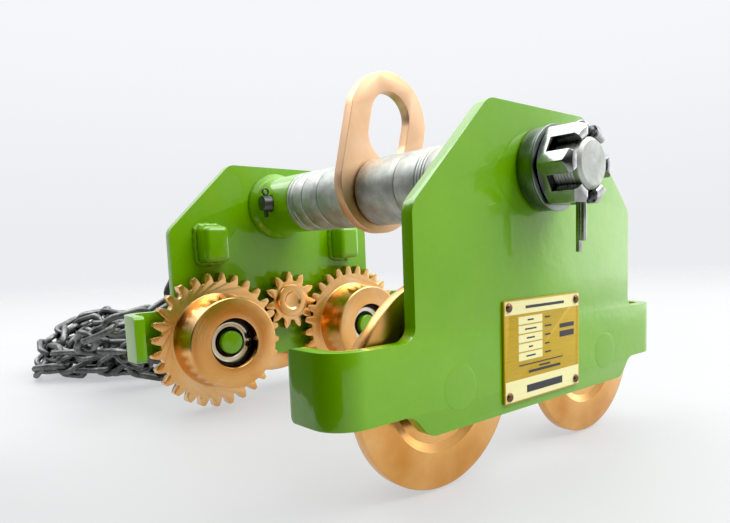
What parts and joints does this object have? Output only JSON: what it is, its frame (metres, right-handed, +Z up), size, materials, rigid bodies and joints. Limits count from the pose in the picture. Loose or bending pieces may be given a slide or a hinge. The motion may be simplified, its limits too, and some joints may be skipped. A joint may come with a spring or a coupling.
{
  "type": "geared beam trolley",
  "caption": "Geared beam trolley for a chain hoist: side plates on a spacer-set load bar, plain and geared wheels, a pinion with a hand chain wheel, and a suspension eye.",
  "frame": {"origin": "on the floor under the middle of the trolley as it stands upside down on its wheels, chain left out", "axes": "X along the beam, +X towards the rear wheels; Y across the beam, +Y towards the drive side plate; Z up from the floor"},
  "size_m": [0.25, 0.554, 0.2055],
  "materials": {
    "green_paint": "gloss lime green paint with orange peel",
    "gold_plating": "turned steel with a coppery yellow zinc plating",
    "zinc_steel": "turned steel with a dull grey zinc plating",
    "bearing_steel": "ground bearing steel",
    "rating_plate_gold": "satin gold anodised",
    "chain_steel": "grey zinc plated chain",
    "bush_bronze": "sintered bronze"
  },
  "bodies": {
    "frame": {"side_plate_plain": "green_paint", "side_plate_drive": "green_paint", "anti_tilt_lug_plain_front": "green_paint", "anti_tilt_lug_plain_rear": "green_paint", "anti_tilt_lug_drive_front": "green_paint", "anti_tilt_lug_drive_rear": "green_paint", "load_bar_socket": "green_paint", "load_bar": "zinc_steel", "castle_nut": "zinc_steel", "castle_nut_split_pin": "zinc_steel", "socket_cross_pin": "zinc_steel", "socket_split_pin": "zinc_steel", "spacer_washer_far": "zinc_steel", "spacer_thin_far": "zinc_steel", "spacer_short_far": "zinc_steel", "spacer_medium_far": "zinc_steel", "spacer_long_far": "zinc_steel", "spacer_long_near": "zinc_steel", "spacer_medium_near": "zinc_steel", "shim_washer_1": "zinc_steel", "shim_washer_2": "zinc_steel", "shim_washer_3": "zinc_steel", "spacer_tube_near": "zinc_steel", "spacer_short_outer": "zinc_steel", "nut_washer": "zinc_steel", "axle_plain_front": "green_paint", "axle_plain_rear": "green_paint", "axle_gear_front": "green_paint", "axle_gear_rear": "green_paint", "bearing_inner_plain_front": "bearing_steel", "bearing_inner_plain_rear": "bearing_steel", "bearing_inner_gear_front": "bearing_steel", "bearing_inner_gear_rear": "bearing_steel", "shaft_bush": "bush_bronze", "chain_guide": "green_paint", "guide_bolt_front": "zinc_steel", "guide_bolt_rear": "zinc_steel", "rating_plate": "rating_plate_gold", "rating_plate_rivet_1": "zinc_steel", "rating_plate_rivet_2": "zinc_steel", "rating_plate_rivet_3": "zinc_steel", "rating_plate_rivet_4": "zinc_steel", "hand_chain_run": "chain_steel", "hand_chain_pile": "chain_steel"},
    "plain_wheel_front": {"plain_wheel_front": "gold_plating", "bearing_outer_plain_front": "bearing_steel", "circlip_plain_front": "zinc_steel"},
    "plain_wheel_rear": {"plain_wheel_rear": "gold_plating", "bearing_outer_plain_rear": "bearing_steel", "circlip_plain_rear": "zinc_steel"},
    "gear_wheel_front": {"gear_wheel_front": "gold_plating", "bearing_outer_gear_front": "bearing_steel", "circlip_gear_front": "zinc_steel"},
    "gear_wheel_rear": {"gear_wheel_rear": "gold_plating", "bearing_outer_gear_rear": "bearing_steel", "circlip_gear_rear": "zinc_steel"},
    "chain_drive": {"pinion_shaft": "gold_plating", "hand_chain_wheel": "gold_plating", "shaft_nut": "zinc_steel"},
    "suspension_lug": {"suspension_lug": "gold_plating"}
  },
  "joints": [
    {"name": "plain_wheel_front_spin", "type": "hinge", "parent": "frame", "child": "plain_wheel_front", "pos_m": [-0.056, -0.0955, 0.04486], "axis": [0, 1, 0], "continuous": true},
    {"name": "plain_wheel_rear_spin", "type": "hinge", "parent": "frame", "child": "plain_wheel_rear", "pos_m": [0.056, -0.0955, 0.04486], "axis": [0, 1, 0], "continuous": true},
    {"name": "gear_wheel_front_spin", "type": "hinge", "parent": "frame", "child": "gear_wheel_front", "pos_m": [-0.056, 0.0855, 0.04486], "axis": [0, 1, 0], "continuous": true},
    {"name": "gear_wheel_rear_spin", "type": "hinge", "parent": "frame", "child": "gear_wheel_rear", "pos_m": [0.056, 0.0855, 0.04486], "axis": [0, 1, 0], "continuous": true},
    {"name": "chain_drive_spin", "type": "hinge", "parent": "frame", "child": "chain_drive", "pos_m": [0, 0.1105, 0.06722], "axis": [0, 1, 0], "continuous": true},
    {"name": "suspension_lug_swing", "type": "hinge", "parent": "frame", "child": "suspension_lug", "pos_m": [0, -0.0056, 0.1352], "axis": [0, 1, 0], "continuous": true}
  ],
  "couplings": [
    {"joint": "chain_drive_spin", "follows": "gear_wheel_front_spin", "ratio": -2.5455},
    {"joint": "gear_wheel_rear_spin", "follows": "gear_wheel_front_spin", "ratio": 1}
  ]
}
